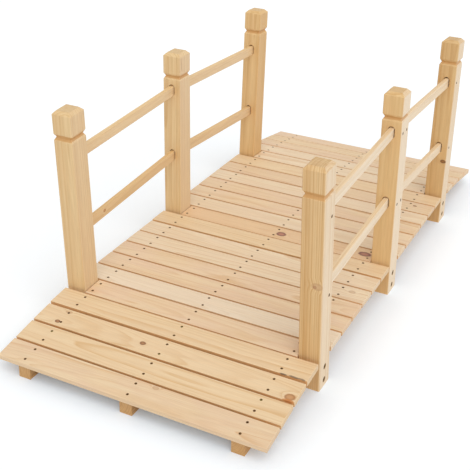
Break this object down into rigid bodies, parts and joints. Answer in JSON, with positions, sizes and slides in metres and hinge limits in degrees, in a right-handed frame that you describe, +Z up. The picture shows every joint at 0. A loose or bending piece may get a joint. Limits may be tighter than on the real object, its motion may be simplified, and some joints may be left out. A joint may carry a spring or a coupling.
{
  "type": "small wooden garden footbridge",
  "caption": "Low arched garden footbridge of plain planed fir: a cross-planked deck on crowned stringers, with bolted posts and two rails along each side.",
  "frame": {"origin": "on the floor, below the middle of the deck", "axes": "+X along the walkway from the near end to the far end, +Y to the left-hand side, +Z up"},
  "size_m": [1.4994, 0.66, 0.5443],
  "materials": {
    "deck_planks": "planed fir, bare and matt",
    "stringers": "planed fir, bare and matt",
    "posts": "planed fir, bare and matt",
    "rails": "planed fir, bare and matt",
    "fixings": "dark phosphated steel screws and bolts"
  },
  "bodies": {
    "root": {"lower_rail_far_left": "rails", "lower_rail_far_right": "rails", "lower_rail_near_left": "rails", "lower_rail_near_right": "rails", "plank_01": "deck_planks", "plank_02": "deck_planks", "plank_03": "deck_planks", "plank_04": "deck_planks", "plank_05": "deck_planks", "plank_06": "deck_planks", "plank_07": "deck_planks", "plank_08": "deck_planks", "plank_09": "deck_planks", "plank_10": "deck_planks", "plank_11": "deck_planks", "plank_12": "deck_planks", "plank_13": "deck_planks", "plank_14": "deck_planks", "plank_15": "deck_planks", "plank_16": "deck_planks", "plank_17": "deck_planks", "plank_18": "deck_planks", "plank_19": "deck_planks", "plank_20": "deck_planks", "plank_21": "deck_planks", "plank_22": "deck_planks", "plank_23": "deck_planks", "post_far_left": "posts", "post_far_right": "posts", "post_middle_left": "posts", "post_middle_right": "posts", "post_near_left": "posts", "post_near_right": "posts", "stringer_left": "stringers", "stringer_middle": "stringers", "stringer_right": "stringers", "upper_rail_far_left": "rails", "upper_rail_far_right": "rails", "upper_rail_near_left": "rails", "upper_rail_near_right": "rails"}
  },
  "joints": []
}
